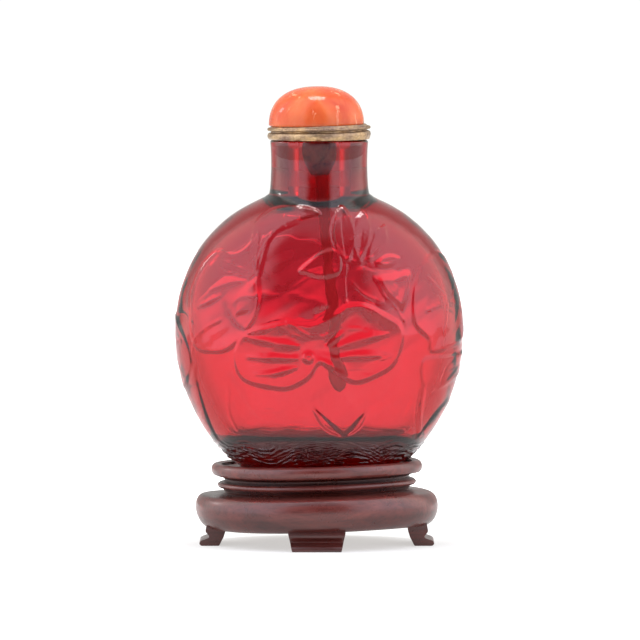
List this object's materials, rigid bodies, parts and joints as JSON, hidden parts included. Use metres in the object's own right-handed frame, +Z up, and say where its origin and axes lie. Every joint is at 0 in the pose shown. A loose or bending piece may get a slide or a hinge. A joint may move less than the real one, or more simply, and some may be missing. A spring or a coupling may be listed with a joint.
{
  "type": "snuff bottle on a stand",
  "caption": "Flattened round snuff bottle of red glass, carved in low relief with a lotus pond, with a domed stopper, on a low footed stand.",
  "frame": {"origin": "on the surface that the stand's feet rest on, under the middle of the stand", "axes": "+Z up, +X to the right and -Y towards the viewer, who faces the carved front of the bottle"},
  "size_m": [0.0496, 0.0336, 0.0778],
  "materials": {
    "ruby_glass": "clear ruby red glass, carved and polished",
    "hardwood": "dark red-brown hardwood, waxed",
    "gilt_metal": "worn gilt metal with brown patina",
    "cork": "bare cork",
    "bone": "smooth bone",
    "carnelian": "polished orange hardstone"
  },
  "bodies": {
    "root": {"bottle": "ruby_glass", "stand": "hardwood", "stopper_collar": "gilt_metal", "stopper_cork": "cork", "stopper_spoon": "bone", "stopper_dome": "carnelian"}
  },
  "joints": []
}
